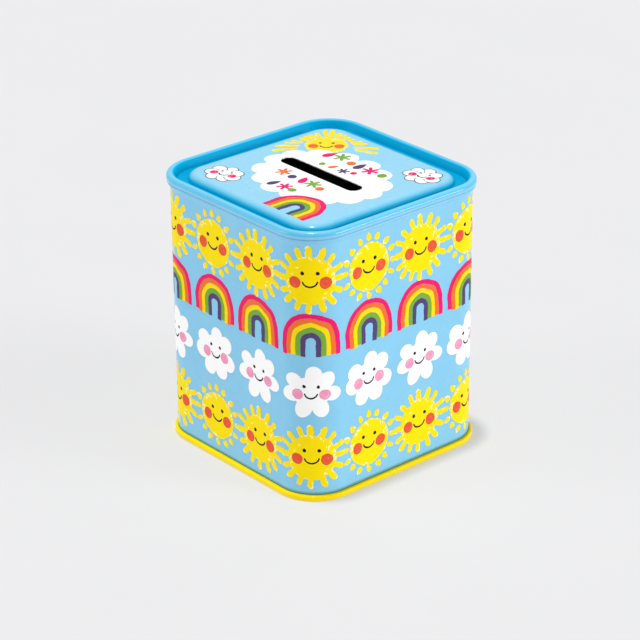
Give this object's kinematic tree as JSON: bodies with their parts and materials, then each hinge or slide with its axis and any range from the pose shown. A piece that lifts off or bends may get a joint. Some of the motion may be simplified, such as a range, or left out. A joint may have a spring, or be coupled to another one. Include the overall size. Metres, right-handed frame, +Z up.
{
  "type": "money box",
  "caption": "Square tinplate money box with rounded corners, a folded base seam, and a lift-off lid with a rolled rim and a long coin slot in its raised panel.",
  "frame": {"origin": "on the floor, under the middle of the tin", "axes": "+Z up, the way the lid lifts; +X along the coin slot; the lock seam of the wall faces +Y"},
  "size_m": [0.0774, 0.0774, 0.091],
  "materials": {
    "wall_print": "glossy sky-blue printed lacquer on tinplate, with crayon-style suns, rainbows and clouds; bare tin inside",
    "base_lacquer": "glossy yellow lacquer on tinplate",
    "lid_print": "glossy light-blue printed lacquer on tinplate, bare tin underneath"
  },
  "bodies": {
    "tin": {"body_shell": "wall_print", "base_panel": "base_lacquer"},
    "lid": {"lid": "lid_print"}
  },
  "joints": [
    {"name": "lid_lift", "type": "slide", "parent": "tin", "child": "lid", "axis": [0, 0, 1], "range_m": [0, 0.03]}
  ]
}
